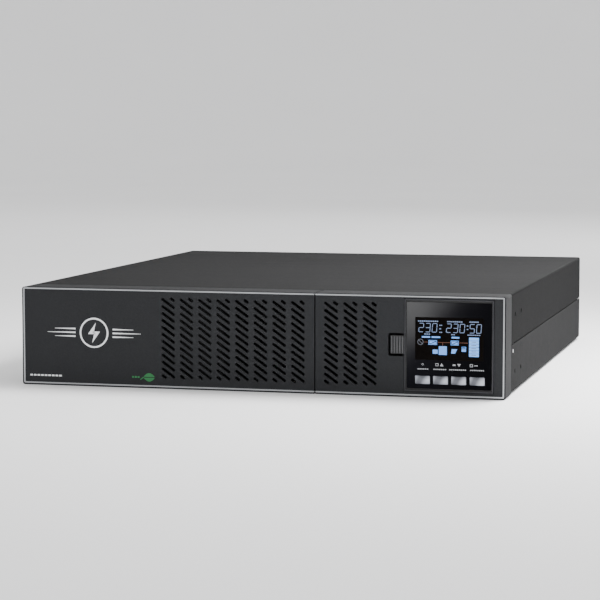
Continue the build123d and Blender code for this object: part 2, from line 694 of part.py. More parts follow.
def tray_handle():
    """Moulded pull handle on the tray's front."""
    mid = sum(TRAY_X) / 2
    half = HANDLE_W / 2
    bar = block((mid - half, mid + half), (-246, -239), HANDLE_Z)
    bar = fillet(bar.edges().filter_by(Axis.X), 2.5)
    for side in (-1, 1):
        leg_x = sorted((mid + side * half, mid + side * (half - HANDLE_LEG)))
        bar += block(leg_x, (-241, FLANGE_Y - 2), HANDLE_Z)
        foot_x = (leg_x[0] - 3, leg_x[1] + 3)
        bar += block(foot_x, (FLANGE_Y - 2, FLANGE_Y), (HANDLE_Z[0] - 6, HANDLE_Z[1] + 6))
    return bar


def tray_screws():
    """Knurled thumb screws that hold the tray shut."""
    screws = []
    for x, z in THUMB_SCREWS:
        head = slab(Pos(x, z) * RegularPolygon(2.1, 18), FLANGE_Y - 7, FLANGE_Y)
        head -= block((x - 3, x + 3), (FLANGE_Y - 8, FLANGE_Y - 6.2), (z - 0.3, z + 0.3))
        screws.append(head + rod_y(x, z, FLANGE_Y, BEZEL_Y1 + 4, 1.5))
    return screws


def tray_plug():
    """Floating plug on the tray's back with two round contacts."""
    y = TRAY_BACK + SHEET
    x = (PLUG_X - PLUG_W / 2, PLUG_X + PLUG_W / 2)
    body = block(x, (y, y + 9), (PLUG_Z - 12, PLUG_Z + 12))
    return body + [rod_y(pin, PLUG_Z, y + 8, y + 22, PIN_R) for pin in PLUG_PINS]


def bay_socket():
    """Fixed socket that takes the tray plug, on a foot to the floor."""
    y = TRAY_BACK + SHEET + 9.5
    half = PLUG_W / 2 + 2
    body = block((PLUG_X - half, PLUG_X + half), (y, y + 20), (PLUG_Z - 13, PLUG_Z + 13))
    body -= [rod_y(pin, PLUG_Z, y - 1, y + 16, PIN_R + 0.5) for pin in PLUG_PINS]
    body += block((PLUG_X - half + 4, PLUG_X + half - 4), (y + 4, y + 16), (CASE_Z1, PLUG_Z - 12))
    return body


# ---------------------------------------------------------------- power electronics
def main_board():
    """Large power board over the floor."""
    body = block(BOARD_X, BOARD_Y, (BOARD_Z, BOARD_TOP))
    return body - [rod_z(x, y, BOARD_Z - 1, BOARD_TOP + 1, 1.6) for x, y in STANDOFF_XY]


def board_standoffs():
    """Spacers with screw heads clamping the board."""
    posts = []
    for x, y in STANDOFF_XY:
        post = rod_z(x, y, CASE_Z1, BOARD_Z, 3) + rod_z(x, y, BOARD_Z, BOARD_TOP, 1.5)
        posts.append(post + rod_z(x, y, BOARD_TOP, BOARD_TOP + 1.8, 2.8))
    return posts


def insulator_sheet():
    """Plastic film on the floor under the power board."""
    sheet = block((PARTITION_X + 10, 212), (-204, 222), (CASE_Z1, CASE_Z1 + 0.5))
    return sheet - [rod_z(x, y, 0, 5, 4.5) for x, y in STANDOFF_XY]


def heatsink(x, side):
    """Finned extrusion standing on the board; fins point to one side."""
    body = block((x, x + SINK_T), HEATSINK_Y, (BOARD_TOP, 72.0))
    fin_x = (x + SINK_T, x + SINK_T + FIN_W) if side > 0 else (x - FIN_W, x)
    for fin in range(FINS):
        fz = BOARD_TOP + 2 + fin * FIN_PITCH
        body += block(fin_x, HEATSINK_Y, (fz, fz + FIN_T))
    return body


def heatsinks():
    """Three heatsinks along the airflow."""
    return [heatsink(HEATSINK_X[0], -1), heatsink(HEATSINK_X[1], 1), heatsink(HEATSINK_X[2], 1)]


def transistors():
    """Flat power devices pressed on the heatsinks' plain sides."""
    devices = []
    for x, side in ((HEATSINK_X[0] + SINK_T, 1), (HEATSINK_X[1], -1), (HEATSINK_X[2], -1)):
        for index in range(6):
            y = -134 + 34 * index
            body_x = sorted((x, x + side * 5))
            mid = x + side * 2.5
            package = block(body_x, (y - 8, y + 8), (20, 41))
            for leg_y in (y - 5, y, y + 5):
                package += block((mid - 0.4, mid + 0.4), (leg_y - 0.6, leg_y + 0.6), (BOARD_TOP, 20))
            devices.append(package)
    return devices


def capacitors():
    """Bulk electrolytic cans."""
    spots = [(34.0, y) for y in (-120.0, -80.0, -40.0)] + [(72.0, y) for y in (-120.0, -80.0, -40.0)]
    cans = []
    for x, y in spots:
        can = rod_z(x, y, BOARD_TOP, BOARD_TOP + CAN_H, CAN_R)
        cans.append(chamfer(can.edges().sort_by(Axis.Z)[-1], 1.2))
    return cans


def inductors():
    """Wound toroids standing on edge in plastic cradles."""
    coils = []
    for x, y in ((52.0, 8.0), (52.0, 44.0), (140.0, 100.0)):
        ring = Pos(x, y, BOARD_TOP + COIL_R + COIL_WIRE_R + 2) * Rot(90, 0, 0) * Torus(COIL_R, COIL_WIRE_R)
        cradle = block((x - 14, x + 14), (y - 8, y + 8), (BOARD_TOP, BOARD_TOP + 6))
        coils.append(ring + cradle)
    return coils


def transformer():
    """Ferrite core around a high-frequency winding."""
    body = block((30, 78), (78, 122), (BOARD_TOP, BOARD_TOP + 46))
    body -= block((36, 49), (70, 130), (BOARD_TOP + 6, BOARD_TOP + 40))
    body -= block((59, 72), (70, 130), (BOARD_TOP + 6, BOARD_TOP + 40))
    return body


def transformer_winding():
    """Copper winding on the core's centre leg."""
    outer = block((38, 70), (73, 127), (BOARD_TOP + 8, BOARD_TOP + 38))
    outer = fillet(outer.edges().filter_by(Axis.Z), 5)
    inner = block((48.8, 59.2), (77.8, 122.2), (BOARD_TOP + 7, BOARD_TOP + 39))
    return outer - inner


def relays():
    """Transfer relays by the rear edge of the board."""
    spots = [(x, 140.0) for x in (2.0, 34.0, 66.0, 112.0)]
    z = (BOARD_TOP, BOARD_TOP + RELAY_H)
    return [block((x - 14.5, x + 14.5), (y - 6.3, y + 6.3), z) for x, y in spots]


def film_caps():
    """Box film capacitors of the filters."""
    spots = [(132.0 + 24 * i, -172.0) for i in range(3)] + [(176.0, 92.0), (176.0, 108.0)]
    z = (BOARD_TOP, BOARD_TOP + FILM_CAP_H)
    return [block((x - 10, x + 10), (y - 6, y + 6), z) for x, y in spots]


def control_board():
    """Upright logic board on the power board's right edge."""
    return block((200.0, 201.6), (-160, 60), (BOARD_TOP, 74))


def control_chips():
    """Processor, converters and headers on the logic board."""
    x = (197.5, 200.0)
    chips = [block(x, (-110, -84), (34, 60)), block(x, (-50, -36), (40, 50)), block(x, (0, 10), (40, 52))]
    chips.append(block((192.0, 200.0), (-150, -125), (56, 64)))
    return chips


# ---------------------------------------------------------------- rear
PORT_BOXES = [(-30.0, -17.5, 44.0, 56.0), (-9.5, 21.5, 44.0, 56.5), (29.0, 41.0, 45.0, 54.0)]


def fan_frame(cx):
    """Square fan housing with a motor plate held by three struts."""
    y = (REAR_Y - FAN_T, REAR_Y)
    body = slab(Pos(cx, FAN_Z) * (RectangleRounded(FAN, FAN, 4) - Circle(FAN_BORE)), *y)
    corners = []
    for dx in (-FAN_HOLE, FAN_HOLE):
        for dz in (-FAN_HOLE, FAN_HOLE):
            corners.append(rod_y(cx + dx, FAN_Z + dz, y[0] - 1, y[1] + 1, 2.25))
    body -= corners
    motor_y = (REAR_Y - 6, REAR_Y - 2)
    body += rod_y(cx, FAN_Z, *motor_y, FAN_HUB_R - 0.5)
    for index in range(FAN_STRUTS):
        turn = 90 + 360 / FAN_STRUTS * index
        strut = slab(Rot(0, 0, turn) * Pos(28, 0) * Rectangle(24, 4), *motor_y)
        body += Pos(cx, 0, FAN_Z) * strut
    body += rod_y(cx, FAN_Z, REAR_Y - FAN_T + 6, REAR_Y - 5, FAN_SHAFT_R)
    return body


def fan_rotor(cx):
    """Hub cup with seven pitched blades."""
    y0 = REAR_Y - FAN_T + 2
    y1 = REAR_Y - 7
    mid = (y0 + y1) / 2
    blades = []
    for index in range(FAN_BLADES):
        blade = Pos(26.5, 0, 0) * Rot(BLADE_PITCH, 0, 0) * Box(21, 1.6, 21)
        blades.append(Rot(0, 360 / FAN_BLADES * index, 0) * blade)
    swept = Cylinder(BLADE_TIP_R, y1 - y0) - Cylinder(10, y1 - y0)
    wheel = join(blades) & (Rot(90, 0, 0) * swept)
    wheel += Rot(90, 0, 0) * Cylinder(FAN_HUB_R, y1 - y0)
    wheel = Pos(cx, mid, FAN_Z) * wheel
    return wheel - rod_y(cx, FAN_Z, y0 + 3, y1 + 1, FAN_SHAFT_R + 0.05)


def fan_screws():
    """Screws at the fans' corners."""
    screws = []
    for cx in FAN_X:
        for dx in (-FAN_HOLE, FAN_HOLE):
            for dz in (-FAN_HOLE, FAN_HOLE):
                screws.append(screw_y(cx + dx, FAN_Z + dz, REAR_OUT, 1, 9, 2.1))
    return screws


def inlet_profile(width, height):
    """Rectangle with its two upper corners cut off."""
    shape = Pos(INLET_X, INLET_Z) * Rectangle(width, height)
    return chamfer(shape.vertices().sort_by(Axis.Y)[-2:], 4.2)


def ac_inlet():
    """Mains inlet body with its flange and plug cavity."""
    flange = Pos(INLET_X, INLET_Z) * RectangleRounded(50, 24, 4)
    body = slab(flange, REAR_OUT, REAR_OUT + 3)
    body += block((INLET_X - 13.5, INLET_X + 13.5), (226, REAR_OUT + 1), (INLET_Z - 9.8, INLET_Z + 9.8))
    body -= slab(inlet_profile(24.6, 16.6), REAR_OUT - 14, REAR_OUT + 4)
    body -= [rod_y(x, INLET_Z, REAR_OUT - 1, REAR_OUT + 4, SCREW_HOLE_R) for x in INLET_SCREW_X]
    return body


def inlet_pins():
    """Three blades inside the mains inlet."""
    y = (REAR_OUT - 14, REAR_OUT + 1)
    return [block((INLET_X + dx - 1, INLET_X + dx + 1), y, (INLET_Z + dz - 2, INLET_Z + dz + 2))
            for dx, dz in INLET_BLADES]


def outlet_bank(z):
    """Row of four shrouded outlets in one moulding."""
    width = OUTLETS * OUTLET_PITCH
    x = (BANK_X - width / 2, BANK_X + width / 2)
    body = block((x[0] - 2, x[1] + 2), (REAR_OUT, REAR_OUT + 2), (z - 13, z + 13))
    body += block(x, (222, REAR_OUT), (z - 11, z + 11))
    for index in range(OUTLETS):
        cx = x[0] + OUTLET_PITCH * (index + 0.5)
        shroud = Pos(cx, z) * (RectangleRounded(24.8, 18.6, 2) - RectangleRounded(21.4, 13.2, 2))
        body -= slab(shroud, REAR_OUT - 15, REAR_OUT + 3)
        for dx, dz in OUTLET_SLITS:
            slit_z = (z + dz - 2.1, z + dz + 2.1)
            body -= block((cx + dx - 1.1, cx + dx + 1.1), (REAR_OUT - 13, REAR_OUT + 3), slit_z)
    return body


def outlet_banks():
    """Two banks of outlets."""
    return [outlet_bank(z) for z in BANK_Z]


def breaker_body():
    """Resettable breaker with a threaded collar and nut."""
    body = rod_y(BREAKER_X, BREAKER_Z, 215, REAR_Y, 8)
    body += rod_y(BREAKER_X, BREAKER_Z, REAR_Y - 1, REAR_OUT + 4, 6)
    body += rod_y(BREAKER_X, BREAKER_Z, REAR_OUT, REAR_OUT + 2.5, 8)
    return body - rod_y(BREAKER_X, BREAKER_Z, 232, REAR_OUT + 6, 3.8)


def breaker_button():
    """Reset plunger of the breaker."""
    return rod_y(BREAKER_X, BREAKER_Z, 233, REAR_OUT + 6.8, 3.5)


def comm_ports():
    """USB, serial and remote-off connectors."""
    y = (230.0, REAR_OUT + 1)
    bodies = [block((x0, x1), y, (z0, z1)) for x0, x1, z0, z1 in PORT_BOXES]
    usb = bodies[0] - block((-28.0, -19.5), (236, 250), (46.2, 53.8))
    usb += block((-26.5, -21.0), (235, 245), (48.4, 51.6))
    serial = bodies[1] + slab(Pos(6, 50.2) * RectangleRounded(17.5, 9, 2.5), REAR_OUT + 1, REAR_OUT + 6)
    serial -= [rod_y(-0.2 + 2.76 * i, 51.6, 240, 260, 0.6) for i in range(5)]
    serial -= [rod_y(1.2 + 2.76 * i, 48.8, 240, 260, 0.6) for i in range(4)]
    remote = bodies[2] - [block((x - 1.6, x + 1.6), (236, 250), (47.5, 51.5)) for x in (32.5, 37.5)]
    return [usb, serial, remote]


def slot_cover():
    """Blank plate over the accessory slot."""
    return block(SLOT_PLATE_X, (REAR_OUT, REAR_OUT + SHEET), SLOT_PLATE_Z)


def slot_screws():
    """Thumb screws of the blank plate."""
    screws = []
    z = sum(SLOT_PLATE_Z) / 2
    for x in (SLOT_PLATE_X[0] + 2.2, SLOT_PLATE_X[1] - 2.2):
        knob = slab(Pos(x, z) * RegularPolygon(2.2, 18), REAR_OUT + SHEET, REAR_OUT + 6)
        screws.append(knob - block((x - 3, x + 3), (REAR_OUT + 5.2, REAR_OUT + 7), (z - 0.3, z + 0.3)))
    return screws


def socket_plate():
    """Blank plate over the external battery socket."""
    plate = slab(Pos(SOCKET_X, SOCKET_Z) * RectangleRounded(50, 30, 2), REAR_OUT, REAR_OUT + 2)
    return plate - [rod_y(x, SOCKET_Z, REAR_OUT - 1, REAR_OUT + 3, SCREW_HOLE_R) for x in SOCKET_SCREW_X]


def ground_stud():
    """Threaded earth stud with a hexagon nut on each side of the panel."""
    nut = Pos(STUD_X, STUD_Z) * RegularPolygon(4.6, 6)
    body = rod_y(STUD_X, STUD_Z, 236, Y_BACK, 2.5)
    return body + slab(nut, REAR_OUT, REAR_OUT + 3) + slab(nut, REAR_Y - 3, REAR_Y)


def harness():
    """Leads from the inlet, the outlets, the battery socket and the fans to the board."""
    leads = []
    end = BOARD_Y[1] - 1.8
    for dx in (-8.0, 0.0, 8.0):
        x = INLET_X + dx
        leads.append(wire([(x, 226, INLET_Z), (x, end, INLET_Z), (x, end, BOARD_TOP)], 1.4, 8))
    for cx in FAN_X:
        x = cx - 30
        leads.append(wire([(x, REAR_Y - FAN_T, 15), (x, end, 15), (x, end, BOARD_TOP)], 1.0, 3))
    for x, z in ((-21.5, PLUG_Z - 6), (-16.5, PLUG_Z + 6)):
        leads.append(wire([(-100, 210, z), (x, 210, z), (x, end, z), (x, end, BOARD_TOP)], 1.8, 6))
    for x, z in ((-11.0, BANK_Z[0]), (-7.0, BANK_Z[1])):
        start = [(-56, 222, z), (-56, 200, z), (x, 200, z)]
        leads.append(wire(start + [(x, end, z), (x, end, BOARD_TOP)], 1.4, 6))
    return leads


save("base_tray", base_tray())
save("top_cover", top_cover())
save("rear_panel", rear_panel())
save("front_plate", front_plate())
save("partition_wall", partition_wall())
save("bay_rails", bay_rails())
save("foot_pads", foot_pads())
save("ear_nuts", ear_nuts())
save("case_screws", case_screws() + bezel_screws())
save("cover_rim", cover_rim())
save("cover_face", cover_face())
save("cover_trim", trim(-HALF_W, SEAM_L))
save("cover_clips", cover_clips())
save("bezel_rim", bezel_rim())
save("bezel_face", bezel_face())
save("bezel_trim", trim(SEAM_R, HALF_W))
save("lcd_housing", lcd_housing())
save("lcd_window", lcd_window())
save("lcd_glass", lcd_glass())
save("lcd_board", lcd_board())
save("lcd_switches", lcd_switches())
for number, button_x in enumerate(BUTTON_X, 1):
    save(f"key_{number}", key_cap(button_x))
save("lcd_latch", lcd_latch())
save("battery_tray", battery_tray())
save("batteries", batteries())
save("battery_terminals", battery_terminals())
save("battery_links", battery_links())
save("tray_handle", tray_handle())
save("tray_screws", tray_screws())
save("tray_plug", tray_plug())
save("bay_socket", bay_socket())
save("main_board", main_board())
save("board_standoffs", board_standoffs())
save("insulator_sheet", insulator_sheet())
save("heatsinks", heatsinks())
save("transistors", transistors())
save("capacitors", capacitors())
save("inductors", inductors())
save("transformer", transformer())
save("transformer_winding", transformer_winding())
save("relays", relays())
save("film_caps", film_caps())
save("control_board", control_board())
save("control_chips", control_chips())
save("fan_frames", [fan_frame(x) for x in FAN_X])
save("fan_rotor_1", fan_rotor(FAN_X[0]))
save("fan_rotor_2", fan_rotor(FAN_X[1]))
save("rear_screws", fan_screws() + slot_screws())
save("ac_inlet", ac_inlet())
save("inlet_pins", inlet_pins())
save("outlet_banks", outlet_banks())
save("breaker_body", breaker_body())
save("breaker_button", breaker_button())
save("comm_ports", comm_ports())
save("blank_plates", [slot_cover(), socket_plate()])
save("ground_stud", ground_stud())
save("harness", harness())
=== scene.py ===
"""Rack or tower uninterruptible power supply: looks, printed marks, stage, light and camera."""
import json
import math

import bmesh
import bpy
from mathutils import Matrix, Vector


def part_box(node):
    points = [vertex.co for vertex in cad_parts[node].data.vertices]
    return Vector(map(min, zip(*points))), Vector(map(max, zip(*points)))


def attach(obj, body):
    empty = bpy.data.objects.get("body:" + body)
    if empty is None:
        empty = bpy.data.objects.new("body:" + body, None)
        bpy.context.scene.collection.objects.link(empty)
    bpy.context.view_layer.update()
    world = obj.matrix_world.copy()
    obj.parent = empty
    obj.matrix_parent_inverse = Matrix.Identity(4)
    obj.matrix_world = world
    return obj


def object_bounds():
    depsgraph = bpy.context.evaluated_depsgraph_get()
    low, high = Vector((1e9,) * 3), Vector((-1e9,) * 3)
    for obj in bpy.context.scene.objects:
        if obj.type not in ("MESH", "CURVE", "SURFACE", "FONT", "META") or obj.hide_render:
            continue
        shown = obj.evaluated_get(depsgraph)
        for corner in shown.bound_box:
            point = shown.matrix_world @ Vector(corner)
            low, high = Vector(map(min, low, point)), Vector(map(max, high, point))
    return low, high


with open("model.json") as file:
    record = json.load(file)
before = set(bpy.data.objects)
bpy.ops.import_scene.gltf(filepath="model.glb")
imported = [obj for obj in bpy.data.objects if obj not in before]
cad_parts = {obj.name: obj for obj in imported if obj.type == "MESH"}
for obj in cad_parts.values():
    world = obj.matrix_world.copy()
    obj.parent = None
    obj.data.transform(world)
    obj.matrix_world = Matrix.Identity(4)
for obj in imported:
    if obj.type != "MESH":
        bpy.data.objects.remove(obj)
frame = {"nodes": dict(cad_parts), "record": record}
cad_box = [list(corner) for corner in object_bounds()]
nodes = frame["nodes"]
MM = 0.001

# ------------------------------------------------------------------ values shared by the finishes
GRAIN_DEPTH = 0.00012
STREAK_SCALE = 9.0
KEY_PITCH = 0.01582
KEY_LEAN = 28
KEY_SHEEN_SCALE = math.pi / 10 / (KEY_PITCH * math.cos(math.radians(KEY_LEAN)))
KEY_SHEEN_PHASE = 2.2
SKIN = 0.6
RIM_SHADE = 0.4
LID_SIDE_SHADE = 0.5
WELD = 0.000005
BEVEL_ANGLE = 32


# ------------------------------------------------------------------ materials
class Shader:
    """A node material with short calls for its parts."""

    def __init__(self, name, color, rough, metal=0.0, **sockets):
        self.mat = bpy.data.materials.new(name)
        self.mat.use_nodes = True
        self.tree = self.mat.node_tree
        self.bsdf = self.tree.nodes["Principled BSDF"]
        self.color = color
        self.rough = rough
        self.set("Base Color", (*color, 1))
        self.set("Roughness", rough)
        self.set("Metallic", metal)
        for key, value in sockets.items():
            self.set(key.replace("_", " "), value)
        self.coords = self.node("ShaderNodeTexCoord").outputs["Object"]

    def set(self, socket, value):
        self.bsdf.inputs[socket].default_value = value

    def node(self, kind, **props):
        made = self.tree.nodes.new(kind)
        for key, value in props.items():
            setattr(made, key, value)
        return made

    def link(self, a, b):
        self.tree.links.new(a, b)

    def stretched(self, scale):
        mapping = self.node("ShaderNodeMapping")
        mapping.inputs["Scale"].default_value = scale
        self.link(self.coords, mapping.inputs["Vector"])
        return mapping.outputs["Vector"]

    def noise(self, scale, detail=3.0, rough=0.55, stretch=(1, 1, 1)):
        tex = self.node("ShaderNodeTexNoise")
        tex.inputs["Scale"].default_value = scale
        tex.inputs["Detail"].default_value = detail
        tex.inputs["Roughness"].default_value = rough
        self.link(self.stretched(stretch), tex.inputs["Vector"])
        return tex.outputs["Fac"]

    def cells(self, scale, feature="F1", output="Distance"):
        tex = self.node("ShaderNodeTexVoronoi", feature=feature)
        tex.inputs["Scale"].default_value = scale
        self.link(self.stretched((1, 1, 1)), tex.inputs["Vector"])
        return tex.outputs[output]

    def ramp(self, fac, stops):
        ramp = self.node("ShaderNodeValToRGB")
        band = ramp.color_ramp
        while len(band.elements) < len(stops):
            band.elements.new(0.5)
        for element, (pos, value) in zip(band.elements, stops):
            element.position = pos
            rgb = value if isinstance(value, tuple) else (value,) * 3
            element.color = (*rgb, 1)
        self.link(fac, ramp.inputs["Fac"])
        return ramp.outputs["Color"]

    def vary_color(self, fac, spread, low=0.3, high=0.7):
        dark = tuple(c * (1 - spread) for c in self.color)
        light = tuple(min(1, c * (1 + spread)) for c in self.color)
        self.link(self.ramp(fac, ((low, dark), (high, light))), self.bsdf.inputs["Base Color"])

    def vary_rough(self, fac, spread, low=0.3, high=0.7):
        stops = ((low, max(0, self.rough - spread)), (high, min(1, self.rough + spread)))
        self.link(self.ramp(fac, stops), self.bsdf.inputs["Roughness"])

    def beyond(self, axis, limit):
        """1 where the object's own coordinate passes a limit in mm, else 0; -Y tests the other way."""
        split = self.node("ShaderNodeSeparateXYZ")
        self.link(self.coords, split.inputs[0])
        test = self.node("ShaderNodeMath", operation="LESS_THAN" if axis.startswith("-") else "GREATER_THAN")
        test.inputs[1].default_value = limit * MM
        self.link(split.outputs[axis[-1]], test.inputs[0])
        return test.outputs[0]

    def mixed(self, socket, mask, value):
        """Another value for a socket where the mask is 1."""
        target = self.bsdf.inputs[socket]
        wide = isinstance(value, tuple)
        blend = self.node("ShaderNodeMix", data_type="RGBA" if wide else "FLOAT")
        a, b, out = (6, 7, 2) if wide else (2, 3, 0)
        if target.links:
            self.link(target.links[0].from_socket, blend.inputs[a])
        else:
            blend.inputs[a].default_value = target.default_value
        blend.inputs[b].default_value = (*value, 1) if wide else value
        self.link(mask, blend.inputs[0])
        self.link(blend.outputs[out], target)

    def darken(self, mask, factor):
        """The same colours, darker, where the mask is 1."""
        target = self.bsdf.inputs["Base Color"]
        blend = self.node("ShaderNodeMix", data_type="RGBA", blend_type="MULTIPLY")
        blend.inputs[7].default_value = (factor, factor, factor, 1)
        self.link(target.links[0].from_socket, blend.inputs[6])
        self.link(mask, blend.inputs[0])
        self.link(blend.outputs[2], target)

    def second(self, mask, color, rough, metal):
        """A second finish where the mask is 1."""
        self.mixed("Base Color", mask, color)
        self.mixed("Roughness", mask, rough)
        self.mixed("Metallic", mask, metal)

    def bump(self, height, strength, distance):
        made = self.node("ShaderNodeBump")
        made.inputs["Strength"].default_value = strength
        made.inputs["Distance"].default_value = distance
        last = self.bsdf.inputs["Normal"].links
        if last:
            self.link(last[0].from_socket, made.inputs["Normal"])
        self.link(height, made.inputs["Height"])
        self.link(made.outputs["Normal"], self.bsdf.inputs["Normal"])


def grained(name, color, rough, scale=1700, strength=0.25, spread=0.10, streaks=None, **sockets):
    """Moulded or powder-coated skin: fine grain, speckle at the grain's own size, uneven gloss."""
    s = Shader(name, color, rough, **sockets)
    grain = s.noise(scale, detail=4.0, rough=0.6)
    s.bump(grain, strength, GRAIN_DEPTH)
    s.vary_color(s.noise(scale * 0.6, detail=2.0) if streaks is None else
                 s.noise(STREAK_SCALE, detail=5.0, rough=0.65, stretch=streaks), spread)
    s.vary_rough(s.noise(scale * 0.25, detail=2.0), 0.03)
    return s.mat


def brushed(name, color, rough, along=(1, 1, 60), scale=60, metal=1.0, **sockets):
    """Metal with long fine strokes."""
    s = Shader(name, color, rough, metal, **sockets)
    strokes = s.noise(scale, detail=6.0, rough=0.7, stretch=along)
    s.bump(strokes, 0.12, 0.00003)
    s.vary_color(strokes, 0.10)
    s.vary_rough(strokes, 0.10)
    return s.mat


def keys_with_painted_sheen(name, color, rough):
    """Satin metal with a painted diagonal sheen that turns from light to dark across each key."""
    s = Shader(name, color, rough, 1.0)
    lean = s.node("ShaderNodeMapping")
    lean.inputs["Rotation"].default_value = (0, math.radians(-KEY_LEAN), 0)
    s.link(s.coords, lean.inputs["Vector"])
    sheen = s.node("ShaderNodeTexWave", bands_direction="X")
    sheen.inputs["Scale"].default_value = KEY_SHEEN_SCALE
    sheen.inputs["Phase Offset"].default_value = KEY_SHEEN_PHASE
    s.link(lean.outputs["Vector"], sheen.inputs["Vector"])
    # Painted sheen: the colour runs from light to dark across each key.
    s.vary_color(sheen.outputs["Fac"], 0.55, 0.1, 0.9)
    strokes = s.noise(120, detail=5.0, rough=0.7, stretch=(30, 1, 1))
    s.bump(strokes, 0.1, 0.00003)
    s.vary_rough(strokes, 0.08)
    return s.mat


def zinc(name, color, rough):
    """Zinc-plated sheet with faint crystals."""
    s = Shader(name, color, rough, 0.9)
    flakes = s.cells(90, output="Color")
    s.vary_color(flakes, 0.10, 0.1, 0.9)
    s.vary_rough(flakes, 0.08, 0.1, 0.9)
    s.bump(s.noise(900), 0.08, 0.00003)
    return s.mat


def polished(name, color, rough, **sockets):
    """Smooth glossy skin with faint waves and smudges."""
    s = Shader(name, color, rough, **sockets)
    s.vary_rough(s.noise(30, detail=5.0), 0.03)
    s.vary_color(s.noise(9, detail=3.0), 0.06)
    s.bump(s.noise(60, detail=2.0), 0.02, 0.00002)
    return s.mat


def wound(name, color, rough, turns, axis):
    """Enamelled wire laid side by side."""
    s = Shader(name, color, rough, 0.85)
    wave = s.node("ShaderNodeTexWave", bands_direction=axis)
    wave.inputs["Scale"].default_value = turns
    wave.inputs["Distortion"].default_value = 0.6
    s.link(s.coords, wave.inputs["Vector"])
    s.bump(wave.outputs["Fac"], 0.8, 0.0006)
    s.vary_color(wave.outputs["Fac"], 0.25)
    return s.mat


def board(name, color):
    """Solder mask over faint copper tracks."""
    s = Shader(name, color, 0.35)
    tracks = s.cells(110, feature="DISTANCE_TO_EDGE")
    copper = tuple(c * 1.9 for c in color)
    s.link(s.ramp(tracks, ((0.03, copper), (0.07, color))), s.bsdf.inputs["Base Color"])
    s.bump(tracks, 0.2, 0.0001)
    return s.mat


def lit(name, color, strength):
    """Backlit print: glows a little unevenly."""
    s = Shader(name, color, 0.4)
    s.set("Emission Color", (*color, 1))
    s.set("Emission Strength", strength)
    s.vary_color(s.noise(250), 0.12)
    return s.mat


def plastic(name):
    """Matt black moulding of the front."""
    return grained(name, (0.0245, 0.0253, 0.0270), 0.68, strength=0.2, Specular_IOR_Level=0.06)


def paint(name):
    """Powder coat of the steel case."""
    return grained(name, (0.0150, 0.0150, 0.0153), 0.78, scale=1300, strength=0.3, spread=0.10,
                   streaks=(0.5, 7, 7), Specular_IOR_Level=0.015)


MATS = {
    "case_paint": paint("case_paint"),
    "zinc_sheet": zinc("zinc_sheet", (0.52, 0.53, 0.54), 0.38),
    "front_plastic": plastic("front_plastic"),
    "silver_trim": brushed("silver_trim", (0.37, 0.38, 0.39), 0.35),
    "gloss_black": polished("gloss_black", (0.0002, 0.0002, 0.0003), 0.2, Specular_IOR_Level=0.014),
    "key_metal": keys_with_painted_sheen("key_metal", (0.25, 0.26, 0.29), 0.32),
    "dark_plastic": grained("dark_plastic", (0.006, 0.006, 0.0085), 0.4, Specular_IOR_Level=0.3),
    "lcd": polished("lcd", (0.03, 0.06, 0.09), 0.2),
    "board_green": board("board_green", (0.02, 0.13, 0.05)),
    "board_dark": board("board_dark", (0.01, 0.05, 0.03)),
    "bright_steel": brushed("bright_steel", (0.42, 0.42, 0.43), 0.3, scale=200),
    "rubber": grained("rubber", (0.018, 0.018, 0.018), 0.8, scale=900),
    "battery_case": grained("battery_case", (0.04, 0.04, 0.045), 0.4, scale=800),
    "brass_tin": brushed("brass_tin", (0.62, 0.55, 0.38), 0.3, scale=200),
    "lead_red": grained("lead_red", (0.38, 0.015, 0.012), 0.45, scale=700),
    "lead_black": grained("lead_black", (0.02, 0.02, 0.02), 0.5, scale=700),
    "film": grained("film", (0.6, 0.57, 0.45), 0.4, scale=500),
    "bare_aluminium": brushed("bare_aluminium", (0.10, 0.10, 0.105), 0.45, along=(60, 1, 60)),
    "chip": grained("chip", (0.02, 0.02, 0.022), 0.5, scale=2200),
    "copper": wound("copper", (0.62, 0.25, 0.09), 0.35, 260, "DIAGONAL"),
    "ferrite": grained("ferrite", (0.045, 0.045, 0.05), 0.6, scale=1200),
    "relay": polished("relay", (0.012, 0.05, 0.2), 0.3),
    "film_cap": polished("film_cap", (0.6, 0.36, 0.04), 0.3),
    "fan_black": grained("fan_black", (0.018, 0.018, 0.02), 0.45, scale=1100),
}


def reopened(mat):
    """The Shader helper for a material that is already made."""
    s = Shader.__new__(Shader)
    s.mat = mat
    s.tree = mat.node_tree
    s.bsdf = s.tree.nodes["Principled BSDF"]
    s.coords = next(n for n in s.tree.nodes if n.type == "TEX_COORD").outputs["Object"]
    return s


def two_part(kind, name, color, rough, zones):
    """A finish with other finishes beyond given limits."""
    s = reopened(kind(name, color, rough))
    for axis, limit, other, other_rough, metal in zones:
        s.second(s.beyond(axis, limit), other, other_rough, metal)
    return s.mat


def painted_shade_on_sides(mat, lo, hi, shade, axes=("Z", "X", "-X")):
    """A finish with painted shade: darker on some of the outer faces."""
    s = reopened(mat)
    for axis in axes:
        at = lo if axis[0] == "-" else hi
        s.darken(s.beyond(axis, at["XYZ".index(axis[-1])]), shade)
    return s.mat


def top_of(node, down=0.0):
    """Height of a node's top in mm, or a little below it."""
    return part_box(node)[1][2] / MM - down


def front_of(node, back=0.0):
    """Place of a node's front along Y in mm, or a little behind it."""
    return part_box(node)[0][1] / MM + back


def just_inside(box):
    """A box's corners in mm, drawn in by the thickness taken as its outer skin."""
    lo, hi = box
    return [c / MM + SKIN for c in lo], [c / MM - SKIN for c in hi]


